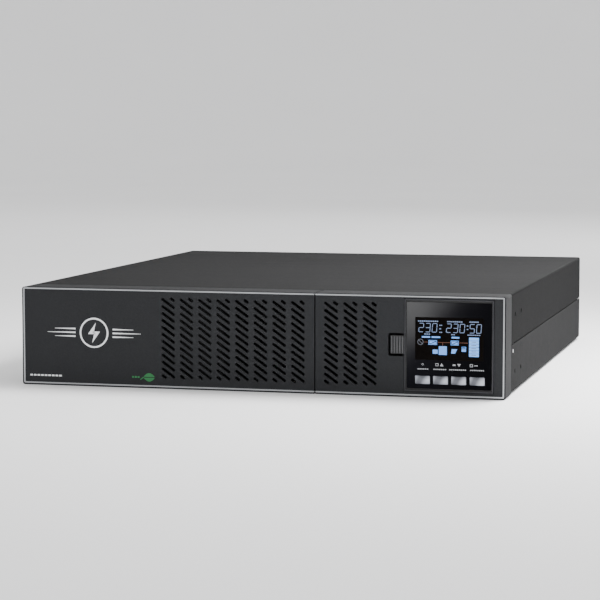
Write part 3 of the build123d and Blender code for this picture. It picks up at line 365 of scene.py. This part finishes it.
BOARD_TOP = top_of("main_board")
RIM_LO, RIM_HI = just_inside(cad_box)
TRAY_FACE = front_of("front_plate", -0.4)
LID_LO, LID_HI = just_inside(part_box("top_cover"))
TIN = (0.6, 0.6, 0.6)
OWN = {
    "capacitors": two_part(polished, "sleeved_can", (0.012, 0.022, 0.06), 0.25,
                           [("Z", top_of("capacitors", 0.4), (0.7, 0.7, 0.7), 0.3, 1.0)]),
    "transistors": two_part(grained, "power_device", TIN, 0.35,
                            [("Z", BOARD_TOP + 9.4, (0.02, 0.02, 0.022), 0.5, 0.0)]),
    "inductors": two_part(grained, "coil_cradle", (0.02, 0.02, 0.02), 0.5,
                          [("Z", BOARD_TOP + 6.0, (0.55, 0.2, 0.07), 0.35, 0.8)]),
    # Painted shade: the lid is darker on its left and right sides, and the two rims on their top and sides.
    "top_cover": painted_shade_on_sides(paint("cover_paint"), LID_LO, LID_HI, LID_SIDE_SHADE, ("X", "-X")),
    "cover_rim": painted_shade_on_sides(plastic("cover_plastic"), RIM_LO, RIM_HI, RIM_SHADE),
    "bezel_rim": painted_shade_on_sides(plastic("bezel_plastic"), RIM_LO, RIM_HI, RIM_SHADE),
    "battery_tray": two_part(zinc, "tray_sheet", (0.52, 0.53, 0.54), 0.38,
                             [("-Y", TRAY_FACE, (0.012, 0.012, 0.0125), 0.7, 0.0)]),
    # Painted shade: the latch and the display frame turn near-black behind their front faces, in their
    # recesses and gaps.
    "lcd_latch": two_part(grained, "latch_plastic", (0.042, 0.043, 0.046), 0.45,
                          [("Y", front_of("lcd_latch", 0.35), (0.0015, 0.0015, 0.002), 0.6, 0.0)]),
    "lcd_housing": two_part(grained, "display_frame", (0.012, 0.0125, 0.017), 0.45,
                            [("Y", front_of("lcd_housing", 0.4), (0.0012, 0.0012, 0.0016), 0.6, 0.0)]),
    "comm_ports": two_part(grained, "port_shells", (0.5, 0.5, 0.5), 0.35,
                           [("X", -12.0, (0.012, 0.012, 0.014), 0.5, 0.0),
                            ("X", 25.0, (0.03, 0.22, 0.06), 0.45, 0.0)]),
}
slots = {entry["node"]: entry["material_slot"] for entry in frame["record"]["subparts"]}


def dress(node, width=0.0, segments=3):
    """Material and, where width is given, softened edges for one CAD node."""
    o = nodes[node]
    o.data.materials.clear()
    o.data.materials.append(OWN.get(node) or MATS[slots[node]])
    if width:
        weld = o.modifiers.new("weld", "WELD")
        weld.merge_threshold = WELD
        bevel = o.modifiers.new("bevel", "BEVEL")
        bevel.width = width * MM
        bevel.segments = segments
        bevel.limit_method = "ANGLE"
        bevel.angle_limit = math.radians(BEVEL_ANGLE)
        bevel.harden_normals = True


EDGES = {
    "top_cover": 0.25, "base_tray": 0.25, "cover_rim": 0.25, "bezel_rim": 0.25, "cover_face": 0.18,
    "bezel_face": 0.18, "cover_trim": 0.12, "bezel_trim": 0.12, "lcd_housing": 0.2, "lcd_window": 0.15,
    "lcd_latch": 0.25, "key_1": 0.3, "key_2": 0.3, "key_3": 0.3, "key_4": 0.3, "battery_tray": 0.2,
    "batteries": 0.8, "tray_handle": 0.6, "ac_inlet": 0.3, "outlet_banks": 0.2, "blank_plates": 0.2,
    "fan_frames": 0.3, "tray_plug": 0.4, "foot_pads": 0.3,
}
for node in nodes:
    dress(node, EDGES.get(node, 0.0))


# ------------------------------------------------------------------ flat printed or lit marks
def made_piece(name, bm, material, body):
    """The built mesh as a named piece that rides a body."""
    bmesh.ops.recalc_face_normals(bm, faces=bm.faces)
    mesh = bpy.data.meshes.new(name)
    bm.to_mesh(mesh)
    bm.free()
    o = bpy.data.objects.new(name, mesh)
    bpy.context.scene.collection.objects.link(o)
    mesh.materials.append(material)
    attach(o, body)


def plate_mesh(name, polygons, y, thick, material, body):
    """Thin raised shapes lying on a plane that faces the front; polygons are in mm, (x, z)."""
    bm = bmesh.new()
    for polygon in polygons:
        front = [bm.verts.new((x * MM, (y - thick) * MM, z * MM)) for x, z in polygon]
        back = [bm.verts.new((x * MM, y * MM, z * MM)) for x, z in polygon]
        bm.faces.new(front)
        bm.faces.new(back[::-1])
        count = len(polygon)
        for i in range(count):
            j = (i + 1) % count
            bm.faces.new((front[j], front[i], back[i], back[j]))
    made_piece(name, bm, material, body)


def bar(x0, x1, z0, z1):
    """Upright rectangle."""
    return [(x0, z0), (x1, z0), (x1, z1), (x0, z1)]


def outline(x0, x1, z0, z1, w):
    """Four bars round a rectangle."""
    return [bar(x0, x1, z1 - w, z1), bar(x0, x1, z0, z0 + w), bar(x0, x0 + w, z0 + w, z1 - w),
            bar(x1 - w, x1, z0 + w, z1 - w)]


def ring(cx, cz, r, w, steps=40, start=0.0, turn=2 * math.pi):
    """Ring of short quads."""
    quads = []
    for i in range(steps):
        a = start + turn * i / steps
        b = start + turn * (i + 1) / steps
        quads.append([(cx + q * math.cos(t), cz + q * math.sin(t)) for q, t in
                      ((r, a), (r, b), (r - w, b), (r - w, a))])
    return quads


def stroke(points, w):
    """Straight strokes of one width through the points."""
    quads = []
    for (x0, z0), (x1, z1) in zip(points, points[1:]):
        length = math.hypot(x1 - x0, z1 - z0)
        nx, nz = -(z1 - z0) / length * w / 2, (x1 - x0) / length * w / 2
        quads.append([(x0 + nx, z0 + nz), (x0 - nx, z0 - nz), (x1 - nx, z1 - nz), (x1 + nx, z1 + nz)])
    return quads


SEGMENTS = {"0": "abcdef", "2": "abged", "3": "abgcd", "5": "afgcd"}


def digit(char, x, z, w, h, t, lean=0.08):
    """Seven-segment digit with pointed segment ends."""
    gap = 0.12
    half = h / 2

    def horizontal(zc):
        a, b = x + gap, x + w - gap
        return [(a, zc), (a + t / 2, zc + t / 2), (b - t / 2, zc + t / 2), (b, zc), (b - t / 2, zc - t / 2),
                (a + t / 2, zc - t / 2)]

    def vertical(xc, z0, z1):
        a, b = z0 + gap, z1 - gap
        return [(xc, a), (xc + t / 2, a + t / 2), (xc + t / 2, b - t / 2), (xc, b), (xc - t / 2, b - t / 2),
                (xc - t / 2, a + t / 2)]

    shapes = {
        "a": horizontal(z + h), "g": horizontal(z + half), "d": horizontal(z),
        "f": vertical(x, z + half, z + h), "b": vertical(x + w, z + half, z + h),
        "e": vertical(x, z, z + half), "c": vertical(x + w, z, z + half),
    }
    return [[(px + (pz - z) * lean, pz) for px, pz in shapes[s]] for s in SEGMENTS[char]]


def dashes(x0, x1, z, h, count, fill=0.72):
    """Row of short marks that stands for a caption."""
    step = (x1 - x0) / count
    return [bar(x0 + i * step, x0 + (i + fill) * step, z - h / 2, z + h / 2) for i in range(count)]


# ------------------------------------------------------------------ display
WINDOW_Y = front_of("lcd_window")
SCREEN = (140.6, 199.8, 32.5, 69.3)
THIN = 0.04

screen_mat = Shader("screen_ground", (0.0016, 0.0009, 0.0006), 0.2, Specular_IOR_Level=0.03)
screen_mat.vary_color(screen_mat.noise(60), 0.2)
plate_mesh("display_screen", [bar(*SCREEN)], WINDOW_Y, THIN / 2, screen_mat.mat, "display")

white = lit("display_white", (0.16, 0.22, 0.36), 0.4)
blue = lit("display_blue", (0.09, 0.26, 0.66), 0.7)
pale = lit("display_pale", (0.12, 0.30, 0.68), 0.9)
red = lit("display_red", (0.12, 0.035, 0.015), 0.15)

marks = []
for text, x in (("230", 143.6), ("230", 167.6), ("50", 187.8)):
    for i, char in enumerate(text):
        marks += digit(char, x + i * 5.8, 56.6, 3.9, 7.4, 0.5)
marks += dashes(143, 161, 65.9, 0.9, 11)
marks += dashes(168.4, 182, 65.9, 0.9, 8)
marks += dashes(187.6, 196, 66.0, 0.9, 5)
marks += dashes(161.6, 164.4, 62.6, 0.8, 2) + dashes(161.6, 163.6, 59.6, 0.8, 1)
marks += dashes(161.6, 164.4, 56.6, 0.8, 2)
marks += dashes(185.4, 187.0, 62.6, 0.8, 1) + dashes(185.4, 187.0, 59.6, 0.8, 1)
marks += dashes(148.6, 154, 54.8, 0.8, 3) + dashes(172, 175.6, 54.8, 0.8, 2)
marks += dashes(186, 197.4, 54.8, 0.8, 7)
plate_mesh("display_digits", marks, WINDOW_Y - THIN / 2, THIN, white, "display")

blocks = [bar(146.4, 153.6, 51.6, 53.0), bar(155.0, 162.4, 51.6, 53.0), bar(172.2, 179.0, 51.6, 53.0)]
for x0, x1 in ((152.2, 159.6), (171.6, 178.4)):
    blocks += outline(x0, x1, 45.7, 49.7, 0.45)
    blocks.append([(x0 + 0.9, 46.5), (x1 - 1.2, 48.9), (x0 + 0.9, 48.9)])
    blocks.append([(x0 + 1.8, 46.4), (x1 - 0.8, 46.4), (x1 - 0.8, 48.4)])
blocks += [bar(161.2, 168.2, 37.2, 44.6), bar(155.9, 160.3, 38.0, 41.6)]
blocks += [[(172.0, 38.6), (175.4, 38.6), (176.2, 40.6), (177.4, 42.4), (172.4, 42.4)]]
blocks += [bar(181.0, 184.8, 40.4, 42.6)] + outline(181.0, 184.8, 42.9, 44.6, 0.4)
plate_mesh("display_blocks", blocks, WINDOW_Y - THIN / 2, THIN, blue, "display")
level = [bar(187.4, 195.9, 36.2 + 2.8 * i, 38.7 + 2.8 * i) for i in range(6)]
plate_mesh("display_level", level, WINDOW_Y - THIN / 2, THIN, pale, "display")

dim = lit("display_dim", (0.10, 0.11, 0.14), 0.2)
symbol = ring(145.2, 47.9, 2.6, 0.4, 32) + stroke([(143.6, 49.6), (146.9, 46.2)], 0.4)
symbol += [bar(189.4, 193.6, 37.4 + 2.8 * i, 38.0 + 2.8 * i) for i in range(5)]
plate_mesh("display_symbols", symbol, WINDOW_Y - 1.4 * THIN, THIN, dim, "display")

flow = stroke([(160.2, 47.9), (171.0, 47.9)], 0.35) + stroke([(178.9, 47.9), (186.6, 47.9)], 0.35)
flow += stroke([(164.6, 47.7), (164.6, 45.0)], 0.35) + stroke([(148.4, 47.9), (151.6, 47.9)], 0.35)
plate_mesh("display_flow", flow, WINDOW_Y - THIN / 2, THIN, red, "display")

ink = Shader("window_ink", (0.34, 0.35, 0.37), 0.5)
ink.vary_color(ink.noise(300), 0.08)
legend = ring(147.2, 28.6, 0.9, 0.35, 24)
legend += outline(158.4, 161.0, 27.4, 29.8, 0.4) + [[(162.2, 27.4), (165.4, 27.4), (163.8, 30.0)]]
legend += [bar(173.4, 175.8, 27.9, 29.3), [(177.2, 29.8), (180.4, 29.8), (178.8, 27.2)]]
legend += outline(188.2, 190.8, 27.4, 29.8, 0.4) + stroke([(192.0, 28.6), (194.9, 28.6)], 0.6)
for x0, x1, count in ((142.8, 152.6, 6), (156.6, 168.2, 7), (170.4, 185.4, 9), (188.4, 200.8, 8)):
    legend += dashes(x0, x1, 24.6, 0.95, count)
plate_mesh("window_legend", legend, WINDOW_Y, THIN, ink.mat, "display")

# ------------------------------------------------------------------ printed marks on the battery cover
FACE_Y = front_of("cover_face")
INK = 0.05
print_white = Shader("print_white", (0.80, 0.81, 0.82), 0.45)
print_white.vary_color(print_white.noise(200), 0.05)
BADGE_X, BADGE_Z = -151.0, 48.0
badge = ring(BADGE_X, BADGE_Z, 13.5, 1.5, 72)
for bolt in (((1.8, 9.2), (-5.6, -1.2), (-0.6, -1.2)), ((-1.8, -9.2), (5.6, 1.2), (0.6, 1.2)),
             ((0.6, 1.2), (-0.6, -1.2), (-1.4, 1.2)), ((-0.6, -1.2), (1.4, -1.2), (0.6, 1.2))):
    badge.append([(BADGE_X + dx, BADGE_Z + dz) for dx, dz in bolt])
for side in (-1, 1):
    for rise, reach in ((3.4, 37.0), (0.0, 44.0), (-3.4, 37.0)):
        near, far = BADGE_X + side * 17.5, BADGE_X + side * reach
        wing = BADGE_Z + rise
        badge.append([(near, wing - 0.7), (far, wing - 0.15), (far, wing + 0.15), (near, wing + 0.7)])
badge += dashes(-212, -181, 8.6, 1.4, 9)
plate_mesh("cover_badge", badge, FACE_Y, INK, print_white.mat, "battery_cover")

print_green = Shader("print_green", (0.004, 0.14, 0.03), 0.5)
print_green.vary_color(print_green.noise(200), 0.08)
LEAF_X, LEAF_Z, LEAF_L, LEAF_H = -99.5, 9.6, 5.2, 3.4
along = [i / 12 for i in range(13)]
edge = [(LEAF_X + LEAF_L * (2 * t - 1), math.sin(math.pi * t) ** 0.8) for t in along]
upper = [(x, LEAF_Z + 0.35 + LEAF_H * rise) for x, rise in edge]
lower = [(x, LEAF_Z - 0.35 - LEAF_H * rise) for x, rise in edge]
leaf = [upper[::-1], lower] + stroke([(LEAF_X - LEAF_L, LEAF_Z), (LEAF_X - LEAF_L - 3, LEAF_Z - 2.2)], 0.8)
leaf += dashes(-115.5, -107.8, 9.6, 1.5, 3)
plate_mesh("cover_leaf", leaf, FACE_Y, INK, print_green.mat, "battery_cover")


# ------------------------------------------------------------------ battery stickers
def flat_top(name, shapes, z, thick, material, body):
    """Thin raised shapes lying on a level plane; shapes are in mm, (x, y)."""
    bm = bmesh.new()
    for shape in shapes:
        low = [bm.verts.new((x * MM, y * MM, z * MM)) for x, y in shape]
        high = [bm.verts.new((x * MM, y * MM, (z + thick) * MM)) for x, y in shape]
        bm.faces.new(high)
        bm.faces.new(low[::-1])
        for i in range(len(shape)):
            j = (i + 1) % len(shape)
            bm.faces.new((low[i], low[j], high[j], high[i]))
    made_piece(name, bm, material, body)


pack_lo, pack_hi = ([c / MM for c in corner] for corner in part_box("batteries"))
BLOCK_DEPTH = 94.0
BLOCKS = 4
PITCH = (pack_hi[1] - pack_lo[1] - BLOCK_DEPTH) / (BLOCKS - 1)
PAPER = 0.15
sticker = Shader("sticker_paper", (0.55, 0.56, 0.57), 0.5)
sticker.vary_color(sticker.noise(120), 0.05)
sticker_red = Shader("sticker_red", (0.45, 0.03, 0.02), 0.5)
sticker_red.vary_color(sticker_red.noise(120), 0.08)
labels, bands = [], []
for i in range(BLOCKS):
    y0 = pack_lo[1] + i * PITCH
    x0 = pack_lo[0]
    labels.append(bar(x0 + 30, x0 + 121, y0 + 22, y0 + 66))
    bands.append(bar(x0 + 34, x0 + 117, y0 + 54, y0 + 62))
flat_top("battery_labels", labels, pack_hi[2], PAPER, sticker.mat, "battery_pack")
flat_top("battery_label_bands", bands, pack_hi[2] + PAPER, INK, sticker_red.mat, "battery_pack")

# ------------------------------------------------------------------ stage, light, camera
# A flat floor that curves up into an all-round wall, so that no view shows a horizon.
FLOOR_R = 6.0
COVE_R = 3.0
WALL_H = 2.0
FLOOR_GAP = 0.0002
ROUND = 96
bend = [math.radians(7.5 * i) for i in range(13)]
profile = [(0.5, 0.0), (FLOOR_R, 0.0)]
profile += [(FLOOR_R + COVE_R * math.sin(t), COVE_R * (1 - math.cos(t))) for t in bend[1:]]
profile.append((FLOOR_R + COVE_R, COVE_R + WALL_H))
bm = bmesh.new()
rings = []
for radius, height in profile:
    angles = [2 * math.pi * i / ROUND for i in range(ROUND)]
    rings.append([bm.verts.new((radius * math.cos(a), radius * math.sin(a), height)) for a in angles])
bm.faces.new(rings[0])
for low, high in zip(rings, rings[1:]):
    for i in range(ROUND):
        j = (i + 1) % ROUND
        face = bm.faces.new((low[i], low[j], high[j], high[i]))
        face.smooth = True
bmesh.ops.recalc_face_normals(bm, faces=bm.faces)
floor_mesh = bpy.data.meshes.new("floor")
bm.to_mesh(floor_mesh)
bm.free()
floor = bpy.data.objects.new("floor", floor_mesh)
floor.location.z = -FLOOR_GAP
bpy.context.scene.collection.objects.link(floor)
floor_mat = Shader("floor_pale", (0.90, 0.90, 0.905), 0.7, Specular_IOR_Level=0.2)
floor_mat.vary_color(floor_mat.noise(2), 0.01)
floor_mesh.materials.append(floor_mat.mat)

WORLD_STRENGTH = 1.2
world = bpy.data.worlds.new("studio")
bpy.context.scene.world = world
world.use_nodes = True
background = world.node_tree.nodes["Background"]
background.inputs["Color"].default_value = (1.0, 1.0, 1.0, 1)
background.inputs["Strength"].default_value = WORLD_STRENGTH


def area_light(name, at, look, size, power):
    """Soft rectangular light aimed at a point."""
    data = bpy.data.lights.new(name, "AREA")
    data.shape = "RECTANGLE"
    data.size, data.size_y = size
    data.energy = power
    o = bpy.data.objects.new(name, data)
    o.location = at
    o.rotation_euler = (Vector(look) - Vector(at)).to_track_quat("-Z", "Y").to_euler()
    bpy.context.scene.collection.objects.link(o)
    return o


area_light("key_right", (0.45, 0.02, 0.62), (0.2, -0.05, 0.05), (0.4, 0.4), 18)
area_light("fill_front", (-1.4, -2.4, 1.4), (-0.1, 0, 0.04), (2.0, 2.0), 12)
area_light("back_strip", (0.6, 2.4, 1.3), (0, 0, 0.08), (3.0, 1.0), 20)
area_light("back_fill", (0.9, 1.9, 0.45), (0.1, 0.25, 0.04), (1.0, 0.6), 8)

# Two small softboxes that light only the glossy display window: a slanted sheen in its upper left corner.
glossy = bpy.data.collections.new("display_glass_only")
glossy.objects.link(nodes["lcd_window"])
CARD_SLANT = 47
CARD_TURN = Matrix.Rotation(math.radians(90), 4, "X") @ Matrix.Rotation(math.radians(CARD_SLANT), 4, "Z")
for card_name, at, size, power in (("display_card_wide", (0.114, -0.354, 0.071), (0.15, 0.06), 0.9),
                                   ("display_card_corner", (0.106, -0.354, 0.079), (0.05, 0.04), 4.5)):
    card = area_light(card_name, at, (at[0], 0.0, at[2]), size, power)
    card.rotation_euler = CARD_TURN.to_euler()
    card.visible_camera = False
    card.light_linking.receiver_collection = glossy

CAMERA_DOWN, CAMERA_ROUND = 5.084, 14.428
camera_data = bpy.data.cameras.new("camera")
camera_data.lens = 128.0
camera_data.sensor_width = 36.0
camera_data.clip_end = 50.0
camera = bpy.data.objects.new("camera", camera_data)
camera.location = (0.4983, -2.0412, 0.2457)
camera.rotation_euler = (math.radians(90 - CAMERA_DOWN), 0, math.radians(CAMERA_ROUND))
bpy.context.scene.collection.objects.link(camera)
bpy.context.scene.camera = camera
